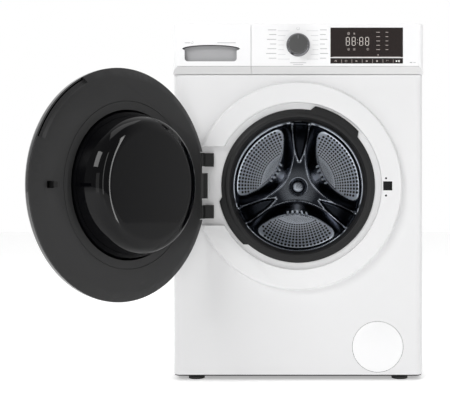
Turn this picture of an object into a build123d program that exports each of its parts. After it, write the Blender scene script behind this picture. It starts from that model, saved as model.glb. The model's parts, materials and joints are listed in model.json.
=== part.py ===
from build123d import *
import os
from math import cos, radians, sin, sqrt

# Front load washing machine, in millimetres.
# Origin: on the floor at the centre of the cabinet's footprint. +Z is up, the front faces -Y.

# Cabinet
WIDTH = 600.0
HEIGHT = 850.0
PANEL_Y = -290.0            # face of the front panel
REAR_Y = 290.0              # face of the rear panel
SHEET = 1.2                 # folded steel sheet
EDGE_R = 19.0               # rounded vertical front edges
BASE_Z = 9.0                # underside of the base tray
PANEL_TOP_Z = 731.5         # top of the front panel
SIDE_FRONT_Y = -267.5       # where the side walls start behind the front parts
WORKTOP_Z = 834.0           # underside of the worktop

# Fascia
FASCIA_Y = -308.0           # face of the fascia
FASCIA_BACK_Y = -268.0
FASCIA_Z = 732.5            # lower edge of the fascia
BEVEL_Z = 750.0             # top of the bevelled strip along the fascia's lower edge
BEVEL_BACK_Y = -295.0
WALL = 3.0                  # moulded plastic wall
SPLIT_X = -112.0            # line between the drawer front and the fascia
SPLIT_GAP = 0.5

# Opening, drum and door share one axis
AXIS_Z = 465.0
RING_H = 18.0               # height of the raised C-shaped ring on the front panel
RING_IN_R = 199.0
RING_OUT_R = 251.0
RING_DRAFT = 6.0            # how far the ring's outer wall leans in
RING_GAP_Z = 94.5           # half-height of the ring's opening at the hinge
MOUTH_R = 178.0             # hole in the front panel for the gasket

# Door, drawn closed and then swung open
DOOR_R = 249.0
PLATFORM_Y = PANEL_Y - 20.0     # flat inner face of the closed door
RIM_Y = PANEL_Y - 32.0          # plane of the door's rim
HINGE_X = -229.6
HINGE_Y = PANEL_Y - 32.0
DOOR_OPEN_DEG = 125.7           # rest position, on the hinge's stop
NOTCH_Z = 80.0                  # half-height of the hinge notch in the door's rim
NOTCH_X = -216.0                # wall at the back of the notch
NOTCH_Y = -334.0
PIN_R = 3.0
KNUCKLE_R = 8.0
TAB_Z = 30.0                    # half-height of the door's hinge knuckle
EAR_Z = (46.3, 77.7)            # each fixed ear's lower and upper end from the axis height
BOWL_TOP_R = 157.0
BOWL_END_R = 120.0
BOWL_END_Y = -245.0

# Suspended tub and drum
TUB_OUT_R = 270.0
TUB_IN_R = 262.0
TUB_FRONT_Y = -215.0
TUB_SPLIT_Y = -20.0
TUB_REAR_Y = 175.0
DRUM_R = 242.0
DRUM_FRONT_Y = -204.0
DRUM_BACK_Y = 130.0
DRUM_MOUTH_R = 165.0
STAR_R = 178.0                  # reach of the star pressed into the drum's back wall
STAR_TURN = 2.5
PETAL_HALF = 119.0              # half-width of each flat between the star's arms
SHAFT_R = 15.0
RUNNING_FIT = 0.05
SPRING_AT = (205.0, 45.0)       # x and y of the suspension springs
SPRING_Z = (699.0, 819.5)
DAMPER_AT = (185.0, 60.0)
DAMPER_ROD_R = 10.92
DAMPER_BORE_R = 11.0

# Belt drive
DRUM_PULLEY_R = 140.0
MOTOR_PULLEY_R = 11.0
MOTOR_X = 100.0
MOTOR_Z = 112.0
BELT_Y = (219.0, 231.0)
BELT_GAP = 0.3
BELT_T = 3.0

# Controls
KNOB_Z = 800.0
KEY_COUNT = 7
KEY_X = (77.0, 249.0)
KEY_Z = (756.0, 768.5)
WINDOW_Z = (771.0, 841.0)
CLEAR = 0.3                     # gap round a moving piece

# Pump, in the lower right corner
PUMP_X = 191.0
PUMP_Z = 79.0
PUMP_COVER_R = 60.6
HOSE_AT = (170.0, -170.0)

FOOT_AT = (246.0, 265.0)
FOOT_R = 19.5


def block(x, y, z):
    """A box between two limits on each axis."""
    size = (x[1] - x[0], y[1] - y[0], z[1] - z[0])
    centre = ((x[0] + x[1]) / 2, (y[0] + y[1]) / 2, (z[0] + z[1]) / 2)
    return Pos(*centre) * Box(*size)


def rod_y(r, y, x=0.0, z=AXIS_Z):
    """A cylinder along Y."""
    return Pos(x, (y[0] + y[1]) / 2, z) * Rot(90, 0, 0) * Cylinder(r, y[1] - y[0])


def rod_z(r, z, x, y):
    """A cylinder along Z."""
    return Pos(x, y, (z[0] + z[1]) / 2) * Cylinder(r, z[1] - z[0])


def pipe_y(r_out, r_in, y, x=0.0, z=AXIS_Z):
    return rod_y(r_out, y, x, z) - rod_y(r_in, (y[0] - 1, y[1] + 1), x, z)


def pipe_z(r_out, r_in, z, x, y):
    return rod_z(r_out, z, x, y) - rod_z(r_in, (z[0] - 1, z[1] + 1), x, y)


def turned(points, x=0.0, z=AXIS_Z, arc=360, start=0):
    """A closed outline of (radius, y) points turned about an axis along Y.

    Angles are counted anticlockwise from +X, seen from the front.
    """
    outline = make_face(Polyline(*points, close=True))
    return Pos(x, 0, z) * Rot(0, -start - arc, 0) * revolve(outline, Axis.Y, arc)


def sector(r, y, start, arc):
    return turned([(r[0], y[0]), (r[1], y[0]), (r[1], y[1]), (r[0], y[1])], arc=arc, start=start)


def plan(points, z):
    """An outline of (x, y) points, extruded between two heights."""
    return Pos(0, 0, z[0]) * extrude(make_face(Polyline(*points, close=True)), z[1] - z[0])


def profile(points, x):
    """An outline of (y, z) points, extruded between two x positions."""
    outline = make_face(Polyline(*[(0, y, z) for y, z in points], close=True))
    return Pos(x[0], 0, 0) * extrude(outline, x[1] - x[0], dir=(1, 0, 0))


def one_node(solids):
    """Identical or paired pieces that share a node but stay separate solids."""
    return Compound(children=list(solids))


def corners(x, y):
    return [(sx * x, sy * y) for sx in (-1, 1) for sy in (-1, 1)]


def front_block(front_y, back_y, z, inset=0.0):
    """A block as wide as the machine with rounded vertical front edges."""
    half = WIDTH / 2 - inset
    body = block((-half, half), (front_y + inset, back_y), z)
    edges = body.edges().filter_by(Axis.Z).sort_by(Axis.Y)[:2]
    return fillet(edges, EDGE_R - inset)


# ---------------------------------------------------------------- cabinet

def cabinet_shell():
    """Two side walls tied by four cross bars and folded in at the back."""
    half = WIDTH / 2
    shell = block((-half, half), (SIDE_FRONT_Y, REAR_Y - SHEET), (12, WORKTOP_Z - 0.5))
    shell -= block((SHEET - half, half - SHEET), (SIDE_FRONT_Y - 1, REAR_Y), (0, HEIGHT))
    for side in (-1, 1):
        flange = sorted((side * (half - SHEET), side * (half - 30)))
        shell += block(flange, (REAR_Y - 2 * SHEET, REAR_Y - SHEET), (12, WORKTOP_Z - 0.5))
    for y in (-252, -SPRING_AT[1], SPRING_AT[1], 266):
        bar = block((SHEET - half, half - SHEET), (y - 10, y + 10), (820, 832))
        shell += bar - block((SHEET - half, half - SHEET), (y - 8, y + 8), (819, 830))
    return shell


def worktop():
    top = block((-WIDTH / 2, WIDTH / 2), (FASCIA_BACK_Y + 0.5, REAR_Y), (WORKTOP_Z, HEIGHT))
    return chamfer(top.faces().sort_by(Axis.Z)[-1].edges(), 1.5)


def raised_ring(height, inset):
    """The C-shaped ring of the front panel; a positive inset gives its hollow back."""
    base = PANEL_Y + SHEET
    face = PANEL_Y - height
    outline = [(RING_IN_R + inset, base), (RING_IN_R + inset, face), (RING_OUT_R - inset - RING_DRAFT, face),
               (RING_OUT_R - inset, PANEL_Y), (RING_OUT_R - inset, base)]
    gap = RING_GAP_Z + inset
    cut = block((-WIDTH / 2, -100), (face - 1, base + 1), (AXIS_Z - gap, AXIS_Z + gap))
    return turned(outline) - cut


def front_panel():
    """Sheet steel front with the raised ring, and holes for the gasket, lock, hinge and pump."""
    z = (12, PANEL_TOP_Z)
    panel = front_block(PANEL_Y, FASCIA_BACK_Y, z)
    panel -= front_block(PANEL_Y, FASCIA_BACK_Y + 1, (0, HEIGHT), inset=SHEET)
    ring = raised_ring(RING_H, 0)
    panel += fillet(ring.edges().filter_by(GeomType.CIRCLE).group_by(Axis.Y)[0], 3)
    panel -= raised_ring(RING_H - SHEET, SHEET)
    panel -= rod_y(MOUTH_R, (PANEL_Y - 1, PANEL_Y + 3))
    panel -= rod_y(PUMP_COVER_R + 0.8, (PANEL_Y - 1, PANEL_Y + 3), PUMP_X, PUMP_Z)
    panel -= block((202.2, 223.8), (-310, -300), (AXIS_Z - 10.8, AXIS_Z + 10.8))
    for z_hole in (AXIS_Z - 23, AXIS_Z + 18):
        panel -= rod_y(2.5, (-310, -300), 209, z_hole)
    for side in (-1, 1):
        ear = sorted((AXIS_Z + side * (EAR_Z[0] - 0.3), AXIS_Z + side * (EAR_Z[1] + 0.3)))
        panel -= block((HINGE_X + 5.8, HINGE_X + 27.9), (PANEL_Y - 1, PANEL_Y + 3), ear)
    return panel


def base_tray():
    """Moulded tray under the machine, with bosses for the feet."""
    rim = SHEET + CLEAR
    tray = front_block(PANEL_Y, REAR_Y - 3 * SHEET, (BASE_Z, 17), inset=rim)
    tray -= front_block(PANEL_Y, REAR_Y - 7, (BASE_Z + 3, 18), inset=rim + WALL)
    for x, y in corners(*FOOT_AT):
        tray += rod_z(12, (BASE_Z, 34), x, y)
        tray -= rod_z(5.2, (0, 41), x, y)
    return tray


def feet():
    """Rubber feet on threaded stems, each with a hexagonal collar."""
    pieces = []
    for x, y in corners(*FOOT_AT):
        pad = chamfer(rod_z(FOOT_R, (0, 7), x, y).edges().group_by(Axis.Z)[-1], 1)
        collar = Pos(x, y, 7) * extrude(RegularPolygon(12, 6), BASE_Z - 7)
        pieces.append(pad + collar + rod_z(5, (7, 32), x, y))
    return one_node(pieces)


def rear_panel():
    """Rear sheet with a large service opening behind the belt drive."""
    panel = block((-WIDTH / 2, WIDTH / 2), (REAR_Y - SHEET, REAR_Y), (12, WORKTOP_Z - 0.5))
    panel -= block((-150, 150), (REAR_Y - 3, REAR_Y + 1), (150, 620))
    panel -= rod_y(14.5, (REAR_Y - 3, REAR_Y + 1), 235, 62)
    panel -= rod_y(14.5, (REAR_Y - 3, REAR_Y + 1), -240, 790)
    panel -= rod_y(9.2, (REAR_Y - 3, REAR_Y + 1), 240, 790)
    for z in range(680, 741, 12):
        panel -= block((-60, 60), (REAR_Y - 3, REAR_Y + 1), (z, z + 4))
    return panel


def service_cover():
    cover = block((-165, 165), (REAR_Y, REAR_Y + 1.5), (135, 635))
    edges = cover.edges().filter_by(Axis.Y)
    return fillet(edges, 15)


def cabinet_screws():
    """Screw heads that hold the rear panel, its service cover and the worktop."""
    places = [(x, z, REAR_Y) for x in (-285, 285) for z in (60, 300, 540, 780)]
    places += [(x, z, REAR_Y + 1.5) for x in (-157, 157) for z in (160, 385, 610)]
    places += [(x, 842, REAR_Y) for x in (-220, 220)]
    heads = []
    for x, z, y in places:
        head = chamfer(rod_y(4.5, (y, y + 2.6), x, z).edges().group_by(Axis.Y)[-1], 0.8)
        heads.append(head - rod_y(1.6, (y + 1.2, y + 3), x, z))
    return one_node(heads)


# ---------------------------------------------------------------- fascia and controls

def fascia_section(front, inset):
    """Side outline of the fascia: upright face over a strip that slopes back."""
    return [(front + inset, BEVEL_Z + inset / 3), (front + inset, HEIGHT - inset),
            (FASCIA_BACK_Y + inset / 3, HEIGHT - inset), (FASCIA_BACK_Y + inset / 3, FASCIA_Z + inset),
            (BEVEL_BACK_Y + inset / 3, FASCIA_Z + inset)]


def key_slots():
    return block((KEY_X[0] - CLEAR, KEY_X[1] + CLEAR), (-312, -300), (KEY_Z[0] - CLEAR, KEY_Z[1] + CLEAR))


def control_fascia():
    """Hollow moulding across the top, set back behind the drawer front on the left."""
    half = WIDTH / 2
    body = profile(fascia_section(FASCIA_Y, 0), (-half, half))
    body &= front_block(FASCIA_Y, FASCIA_BACK_Y, (FASCIA_Z, HEIGHT))
    drawer_back = -289.6
    body -= block((-half - 1, SPLIT_X + SPLIT_GAP), (FASCIA_Y - 1, drawer_back), (FASCIA_Z - 1, HEIGHT + 1))
    hollow = profile(fascia_section(FASCIA_Y, WALL), (WALL - half, half - WALL))
    hollow &= front_block(FASCIA_Y, FASCIA_BACK_Y + 1, (FASCIA_Z, HEIGHT), inset=WALL)
    wall_x = SPLIT_X + SPLIT_GAP + WALL
    hollow -= block((-half, wall_x), (FASCIA_Y, drawer_back + WALL), (FASCIA_Z, HEIGHT))
    body -= hollow
    body -= block((-292.5, -119.5), (-295, -280), (744.5, 817.5))
    body += pipe_y(31, 3.4, (FASCIA_Y - 1, FASCIA_Y + WALL), 0, KNOB_Z)
    body -= rod_y(3.4, (-312, -300), 0, KNOB_Z)
    body -= block((KEY_X[0] - 0.2, KEY_X[1] + 0.2), (-309, -300), (WINDOW_Z[0] - 0.2, WINDOW_Z[1] + 0.2))
    body -= key_slots()
    return body


def display_window():
    pane = block(KEY_X, (-308.6, -304), WINDOW_Z)
    return fillet(pane.edges().filter_by(Axis.Y), 1.0)


def control_board():
    """Circuit board with the dial's encoder, the display and a key switch behind each key."""
    board = block((-24, 258), (-287, -285), (752, 838))
    board += block((-12, 12), (-296, -287), (KNOB_Z - 12, KNOB_Z + 12))
    board -= rod_y(3.4, (-297, -280), 0, KNOB_Z)
    board += block((100, 226), (-303.5, -287), (785, 836))
    pitch = (KEY_X[1] - KEY_X[0]) / KEY_COUNT
    for n in range(KEY_COUNT):
        x = KEY_X[0] + (n + 0.5) * pitch
        board += block((x - 3, x + 3), (-298.7, -287), (759, 765))
    return board


def key(n):
    """One push key of the row under the display."""
    pitch = (KEY_X[1] - KEY_X[0]) / KEY_COUNT
    x = KEY_X[0] + n * pitch
    cap = block((x + 0.25, x + pitch - 0.25), (-308.6, -300), KEY_Z)
    return fillet(cap.edges().group_by(Axis.Y)[0], 0.4)


def knob_skirt():
    """Turned skirt of the dial with its spindle."""
    skirt = turned([(0, -309.3), (28, -309.3), (28, -313), (26, -315), (0, -315)], z=KNOB_Z)
    return skirt + rod_y(3.3, (-309.5, -288), 0, KNOB_Z)


def knob_cap():
    outline = [(0, -315), (23.5, -315), (22.5, -331), (21, -333), (0, -333.6)]
    cap = turned(outline, z=KNOB_Z)
    return cap - block((-0.9, 0.9), (-335, -332.4), (KNOB_Z + 9, KNOB_Z + 19))


# ---------------------------------------------------------------- dispenser

def drawer_front():
    """Front of the dispenser drawer, with a finger recess under an arched lip."""
    left = (-WIDTH / 2, SPLIT_X - SPLIT_GAP)
    body = profile(fascia_section(FASCIA_Y, 0), left)
    body &= front_block(FASCIA_Y, FASCIA_BACK_Y, (FASCIA_Z, HEIGHT))
    body -= block((-310, -100), (-290, -260), (FASCIA_Z - 1, HEIGHT + 1))
    grip = block((-270, -146), (-309, -294.5), (761, 791))
    grip = fillet(grip.edges().filter_by(Axis.Y).group_by(Axis.Z)[0], 8)
    arch = Pos(-207, -301.75, 791) * Rot(90, 0, 0) * extrude(Ellipse(68, 9), 7.25, both=True)
    arch &= block((-275, -139), (-309, -294.5), (786, 801))
    return body - grip - arch


def drawer_tray():
    """Tray with three compartments, open at the top."""
    tray = block((-290, -122), (-290, -92), (750, 812))
    tray -= block((-288, -124), (-288, -94), (752, 813))
    for x in (-232, -180):
        tray += block((x - 1, x + 1), (-288, -94), (752, 806))
    return tray


def siphon_cap():
    """Lift-out siphon over the middle compartment's outlet."""
    cap = block((-230.5, -181.5), (-150, -95), (800, 803))
    return cap + pipe_z(9, 6, (753, 800.5), -206, -122)


def dispenser_housing():
    """Fixed box that the drawer runs in, with a spout to the tub."""
    box = block((-293, -119), (-286, -84), (745, 817))
    box -= block((-290.5, -121.5), (-287, -87), (747.5, 814.5))
    box += pipe_z(14, 11, (728, 745.5), -206, -110)
    return box - rod_z(11, (740, 750), -206, -110)


def inlet_valve():
    """Water valve: threaded spigot through the rear panel and a body inside."""
    body = block((-258, -222), (262, 287.9), (772, 808))
    spigot = rod_y(13.2, (287, 306), -240, 790) - rod_y(9.5, (286, 307), -240, 790)
    hex_nut = Pos(-240, REAR_Y, 790) * Rot(90, 0, 0) * extrude(RegularPolygon(17, 6), -3)
    body += hex_nut - rod_y(12, (289, 294), -240, 790)
    return body + spigot + pipe_z(8, 5, (750, 773), -240, 272)


# ---------------------------------------------------------------- door, drawn closed

def swing(shape):
    """Carry a piece of the closed door to its open rest position."""
    return Pos(HINGE_X, HINGE_Y, 0) * Rot(0, 0, -DOOR_OPEN_DEG) * Pos(-HINGE_X, -HINGE_Y, 0) * shape


def hinge_notch(grow=0.0):
    z = (AXIS_Z - NOTCH_Z - grow, AXIS_Z + NOTCH_Z + grow)
    return block((-260, NOTCH_X + grow), (NOTCH_Y - grow, -300), z)


def door_inner_ring():
    """Moulded inner frame: flat platform, bevelled rim, finger scoop, hinge notch, hook slot."""
    back = -325.5
    ring = turned([(160, PLATFORM_Y), (226, PLATFORM_Y), (DOOR_R, RIM_Y), (DOOR_R, back), (160, back)])
    ring -= hinge_notch()
    hollow = turned([(163.5, -313.2), (225.2, -313.2), (245, -323.5), (245, -326), (163.5, -326)])
    hollow -= hinge_notch(WALL)
    hollow -= sector((224, 250), (-330, -305), 19, 45)
    ring -= hollow
    ring -= turned([(232, -305), (252, -305), (252, -327), (246, -327), (238, -322.5)], arc=39, start=22)
    ring -= turned([(177, PLATFORM_Y + 1), (179, PLATFORM_Y + 1), (178.6, -311), (177.4, -311)])
    return ring - block((201, 217), (-330, -305), (AXIS_Z - 6.5, AXIS_Z + 6.5))


def door_cover():
    """Smoked, domed outer cover with a rounded edge."""
    rim = DOOR_R - WALL

    def dome(edge_r, top_y):
        steps = [edge_r * n / 8 for n in range(9)]
        return [(r, top_y + 9.5 * (r / edge_r) ** 2) for r in steps]

    outline = make_face([
        Polyline(*dome(237, -353)),
        ThreePointArc((237, -343.5), (245.4, -340), (DOOR_R, -331.5)),
        Polyline((DOOR_R, -331.5), (DOOR_R, -325.7), (rim, -325.7), (rim, -331.5)),
        ThreePointArc((rim, -331.5), (243.3, -337.9), (236.7, -340.5)),
        Polyline(*reversed(dome(236.7, -350))),
        Line((0, -350), (0, -353)),
    ])
    return Pos(0, 0, AXIS_Z) * revolve(outline, Axis.Y) - hinge_notch()


def door_glass():
    """Pressed glass bowl, its flange held between the inner frame and the cover."""
    wall = 5.0
    outer = [(0, BOWL_END_Y), (BOWL_END_R, BOWL_END_Y), (135, -250), (144, -262), (BOWL_TOP_R, -310),
             (158.5, -325.8), (168, -325.8), (168, -330), (0, -330)]
    inner = [(0, BOWL_END_Y - wall), (117, BOWL_END_Y - wall), (131, -254.5), (139, -264.5),
             (BOWL_TOP_R - wall, -311), (153, -331), (0, -331)]
    return turned(outer) - turned(inner)


def door_hinge_plate():
    """Plate in the rim's notch with the central knuckle that turns on the hinge pin."""
    plate = block((NOTCH_X - 3.2, NOTCH_X - 0.1), (-330, -312), (AXIS_Z - 78, AXIS_Z + 78))
    z = (AXIS_Z - TAB_Z, AXIS_Z + TAB_Z)
    arm = block((HINGE_X, NOTCH_X - 1), (-329, -315), z)
    turn = radians(DOOR_OPEN_DEG)
    along = (cos(turn), sin(turn))
    tip = [(along[0] * d - along[1] * w, along[1] * d + along[0] * w) for d, w in ((0, -5), (16, -4), (16, 4), (0, 5))]
    tail = plan([(HINGE_X + x, HINGE_Y + y) for x, y in tip], z)
    knuckle = rod_z(KNUCKLE_R, z, HINGE_X, HINGE_Y)
    return plate + arm + tail + knuckle - rod_z(PIN_R + RUNNING_FIT, (0, HEIGHT), HINGE_X, HINGE_Y)


def door_hook():
    """Sprung hook that enters the lock."""
    z = (AXIS_Z - 5.5, AXIS_Z + 5.5)
    hook = plan([(206, -320), (211, -320), (211, -292.5), (215.5, -292.5), (211, -286.5), (206, -286.5)], z)
    return hook + rod_z(4, z, 208.5, -319)


def hinge_bracket():
    """Plate behind the front panel with two ears that reach round to the hinge axis."""
    back = PANEL_Y + SHEET
    plate = block((-236, -194), (back, back + 3), (AXIS_Z - 92, AXIS_Z + 92))
    outline = [(-7.5, 3), (8.5, 0), (9.2, 13.5), (27.6, 20), (27.6, 35), (7.6, 35), (3.5, 20)]
    for side in (-1, 1):
        z = sorted((AXIS_Z + side * EAR_Z[0], AXIS_Z + side * EAR_Z[1]))
        ear = plan([(HINGE_X + x, HINGE_Y + y) for x, y in outline], z)
        plate += ear + rod_z(KNUCKLE_R, z, HINGE_X, HINGE_Y)
    return plate - rod_z(PIN_R, (0, HEIGHT), HINGE_X, HINGE_Y)


def hinge_pin():
    return rod_z(PIN_R, (AXIS_Z - EAR_Z[1], AXIS_Z + EAR_Z[1]), HINGE_X, HINGE_Y)


def door_lock():
    """Lock body behind the ring's face, with a square mouth for the hook."""
    front = PANEL_Y - RING_H + SHEET
    body = block((RING_IN_R + SHEET + CLEAR, 236), (front, -270), (AXIS_Z - 38, AXIS_Z + 38))
    return body - block((202.2, 223.8), (-307, -276), (AXIS_Z - 10.8, AXIS_Z + 10.8))


def door_gasket():
    """Rubber bellows between the front panel's mouth and the tub's neck."""
    outline = [(163, -296), (165, -297), (172, -297), (174, -294), (184, -294), (184, -290), (178, -290),
               (178, -288), (183, -288), (183, -284), (174, -284), (169, -264), (161, -236), (172, -236),
               (180, -252), (192, -252), (192, -229), (188.1, -229), (188.1, -248), (182, -248),
               (177, -232), (161, -219), (161, -224), (166, -240), (166, -262)]
    gasket = turned(outline)
    gasket += sector((182, 195), (-294, -290), 39, 42)
    return gasket + sector((182, 192), (-294, -290), 188, 42)


def gasket_clamp():
    """Wire band round the gasket on the tub's neck."""
    band = pipe_y(194.2, 192, (-241, -236))
    return band + block((-8, 8), (-241, -236), (AXIS_Z + 193, AXIS_Z + 199))


# ---------------------------------------------------------------- tub

def outside_tub(shape):
    return shape - rod_y(TUB_OUT_R - 1, (-240, 240))


def tub_front():
    """Front half of the tub with the neck for the gasket and the sump outlet."""
    tub = turned([(184, TUB_FRONT_Y), (TUB_OUT_R, TUB_FRONT_Y), (TUB_OUT_R, -30), (276, -30), (276, TUB_SPLIT_Y),
                  (TUB_IN_R, TUB_SPLIT_Y), (TUB_IN_R, TUB_FRONT_Y + 4), (188, TUB_FRONT_Y + 4),
                  (188, -247.5), (184, -247.5)])
    spigot = outside_tub(rod_z(17, (222, 290), *HOSE_AT))
    tub += spigot
    tub -= rod_z(14, (221, 300), *HOSE_AT)
    return add_tub_lugs(tub, -1)


def tub_rear():
    """Rear half of the tub with the bearing housing."""
    tub = turned([(31, TUB_REAR_Y - 8), (TUB_IN_R, TUB_REAR_Y - 8), (TUB_IN_R, TUB_SPLIT_Y), (276, TUB_SPLIT_Y),
                  (276, -10), (TUB_OUT_R, -10), (TUB_OUT_R, TUB_REAR_Y), (42, TUB_REAR_Y), (42, 213), (31, 213)])
    for angle in range(0, 360, 45):
        rib = block((40, 255), (TUB_REAR_Y - 1, TUB_REAR_Y + 14), (-2.5, 2.5))
        tub += Pos(0, 0, AXIS_Z) * Rot(0, -angle - 22.5, 0) * rib
    tub -= block((-36, 36), (TUB_REAR_Y - 10, TUB_REAR_Y + 20), (206, 224))
    hanger = block((60, 140), (60, 130), (160, 260))
    hanger -= block((72, 128), (50, 140), (150, 260))
    tub += outside_tub(hanger - rod_y(60.2, (0, 200), MOTOR_X, MOTOR_Z))
    return add_tub_lugs(tub, 1)


def add_tub_lugs(tub, side):
    """Lugs for two springs at the top and two dampers at the bottom of one tub half."""
    for sx in (-1, 1):
        x, y = sx * SPRING_AT[0], side * SPRING_AT[1]
        tub += outside_tub(block((x - 14, x + 14), (y - 9, y + 9), (610, SPRING_Z[0] - 0.5)))
        x, y = sx * DAMPER_AT[0], side * DAMPER_AT[1]
        tub += outside_tub(block((x - 14, x + 14), (y - 9, y + 9), (240, 300)))
    return tub


def drum_bearings():
    return one_node([pipe_y(31, SHAFT_R + RUNNING_FIT, y) for y in ((181, 193), (198, 210))])


def shaft_seal():
    return pipe_y(31, SHAFT_R + 0.3, (168, 176))


def heater():
    """Looped heating element in the gap under the drum, with its sealed terminal block."""
    z = AXIS_Z - 251
    element = rod_y(3.6, (-150, 176), -28, z) + rod_y(3.6, (-150, 176), 28, z)
    element += Pos(0, -150, z) * Rot(0, 90, 0) * Cylinder(3.6, 56)
    element += Pos(-28, -150, z) * Sphere(3.6) + Pos(28, -150, z) * Sphere(3.6)
    return element + block((-35.8, 35.8), (167, 184), (206.2, 223.8))


def front_counterweight():
    """Cast ring bolted to the tub's front wall."""
    ring = pipe_y(262, 200, (-250, TUB_FRONT_Y - 0.1))
    return ring - block((196, 270), (-252, TUB_FRONT_Y), (AXIS_Z - 50, AXIS_Z + 50))


def top_counterweight():
    """Cast block on the tub's crown."""
    cast = block((-95, 160), (-20, 140), (690, 790)) - block((-100, 170), (-40, -8), (680, 800))
    cast = fillet(cast.edges().filter_by(Axis.Y).group_by(Axis.Z)[-1], 14)
    return cast - rod_y(276.2, (-60, 180))


def motor():
    """Drive motor hung under the tub."""
    body = rod_y(60, (40, 176), MOTOR_X, MOTOR_Z)
    body = chamfer(body.edges().filter_by(GeomType.CIRCLE), 5)
    for n in range(8):
        slot = block((52, 64), (55, 160), (-4, 4))
        body -= Pos(MOTOR_X, 0, MOTOR_Z) * Rot(0, n * 45 + 22.5, 0) * slot
    body += rod_y(24, (175, 190), MOTOR_X, MOTOR_Z)
    return body - rod_y(6 + RUNNING_FIT, (120, 200), MOTOR_X, MOTOR_Z)


def motor_pulley():
    """Grooved pulley on the motor's shaft."""
    pulley = rod_y(6, (125, 236), MOTOR_X, MOTOR_Z) + rod_y(MOTOR_PULLEY_R, BELT_Y, MOTOR_X, MOTOR_Z)
    for y in (216, 232):
        pulley += rod_y(MOTOR_PULLEY_R + 3, (y, y + 2), MOTOR_X, MOTOR_Z)
    return pulley


def drum_pulley():
    """Large spoked pulley on the end of the drum shaft."""
    pulley = pipe_y(DRUM_PULLEY_R, DRUM_PULLEY_R - 9, BELT_Y) + rod_y(26, (216, 234))
    for n in range(6):
        spoke = block((20, DRUM_PULLEY_R - 5), (221, 229), (-6, 6))
        pulley += Pos(0, 0, AXIS_Z) * Rot(0, n * 60, 0) * spoke
    return pulley - rod_y(SHAFT_R - 3, (200, 240))


def belt_outline(grow):
    """Outline of the belt's run round the two pulleys."""
    big = DRUM_PULLEY_R + BELT_GAP + grow
    small = MOTOR_PULLEY_R + BELT_GAP + grow
    dx, dz = MOTOR_X, MOTOR_Z - AXIS_Z
    span = sqrt(dx * dx + dz * dz)
    ux, uz = dx / span, dz / span
    lean = (big - small) / span
    rise = sqrt(1 - lean * lean)
    sides = []
    for side in (-1, 1):
        nx, nz = ux * lean - side * uz * rise, uz * lean + side * ux * rise
        sides.append(((nx * big, nz * big), (dx + nx * small, dz + nz * small)))
    (a, b), (c, d) = sides
    loop = [Line(a, b), ThreePointArc(b, (dx + ux * small, dz + uz * small), d),
            Line(d, c), ThreePointArc(c, (-ux * big, -uz * big), a)]
    return make_face(loop)


def drive_belt():
    ring = belt_outline(BELT_T) - belt_outline(0)
    belt = extrude(ring, BELT_Y[1] - BELT_Y[0])
    return Pos(0, BELT_Y[1], AXIS_Z) * Rot(90, 0, 0) * belt


# ---------------------------------------------------------------- drum

def drum_shell():
    """Stainless drum wall, closing in at the front to a rolled mouth."""
    t = 1.5
    outline = [(DRUM_R, DRUM_BACK_Y + 6), (DRUM_R, -180), (236, -193), (222, -200), (176, DRUM_FRONT_Y),
               (DRUM_MOUTH_R, -208), (DRUM_MOUTH_R, -206), (176, -202.4), (221.5, -198.4),
               (235, -191.8), (DRUM_R - t, -179.5), (DRUM_R - t, DRUM_BACK_Y + 6)]
    return turned(outline)


def drum_back():
    """Pressed back wall: a raised three-armed star between three petal-shaped flats, and a domed hub."""
    face = DRUM_BACK_Y - 2
    plate = rod_y(DRUM_R - 1.6, (face, DRUM_BACK_Y))
    star = turned([(0, face + 1), (STAR_R, face + 1), (STAR_R, face - 4), (60, face - 8), (24, 119), (0, 118)])
    for n in range(3):
        inner = ThreePointArc((130, -PETAL_HALF), (80, 0), (130, PETAL_HALF))
        outer = Polyline((130, PETAL_HALF), (190, PETAL_HALF), (190, -PETAL_HALF), (130, -PETAL_HALF))
        petal = make_face([inner, outer])
        cut = extrude(Plane.XZ * petal, 20, both=True)
        star -= Pos(0, face - 20, AXIS_Z) * Rot(0, n * 120 + STAR_TURN - 30, 0) * cut
    return plate + star


def lifters():
    """Three moulded paddles along the drum wall."""
    paddles = []
    for n in range(3):
        paddle = profile([(-170, 238), (-150, 192), (100, 186), (118, 238)], (-27, 27))
        taper = plan([(-27, -171), (27, -171), (27, 119), (-27, 119)], (184, 238.5))
        paddle &= loft([Pos(0, -26, 238.5) * Rectangle(54, 300), Pos(0, -26, 184) * Rectangle(20, 300)])
        paddles.append(Pos(0, 0, AXIS_Z) * Rot(0, n * 120, 0) * (paddle & taper))
    return one_node(paddles)


def drum_spider():
    """Cast three-armed carrier behind the drum."""
    spider = rod_y(38, (DRUM_BACK_Y, 158))
    for n in range(3):
        arm = profile([(DRUM_BACK_Y, 20), (DRUM_BACK_Y, 239), (139, 239), (156, 60), (156, 20)], (-14, 14))
        spider += Pos(0, 0, AXIS_Z) * Rot(0, n * 120, 0) * arm
    return spider - rod_y(SHAFT_R, (DRUM_BACK_Y - 5, 165))


def drum_shaft():
    return rod_y(SHAFT_R, (DRUM_BACK_Y, 214)) + rod_y(SHAFT_R - 3, (213, 236))


# ---------------------------------------------------------------- suspension

def suspension_springs():
    """Four coil springs that carry the tub from the cross bars."""
    springs = []
    length = SPRING_Z[1] - SPRING_Z[0]
    path = Helix(pitch=9, height=length - 8, radius=10)
    coil = sweep(Plane(origin=path @ 0, z_dir=path % 0) * Circle(2), path)
    for x, y in corners(*SPRING_AT):
        springs.append(Pos(x, y, SPRING_Z[0] + 4) * coil)
    return one_node(springs)


def damper_tubes():
    return one_node([pipe_z(15, DAMPER_BORE_R, (BASE_Z + 3, 160), x, y) for x, y in corners(*DAMPER_AT)])


def damper_rods():
    return one_node([rod_z(DAMPER_ROD_R, (70, 240), x, y) for x, y in corners(*DAMPER_AT)])


# ---------------------------------------------------------------- pump

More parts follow.
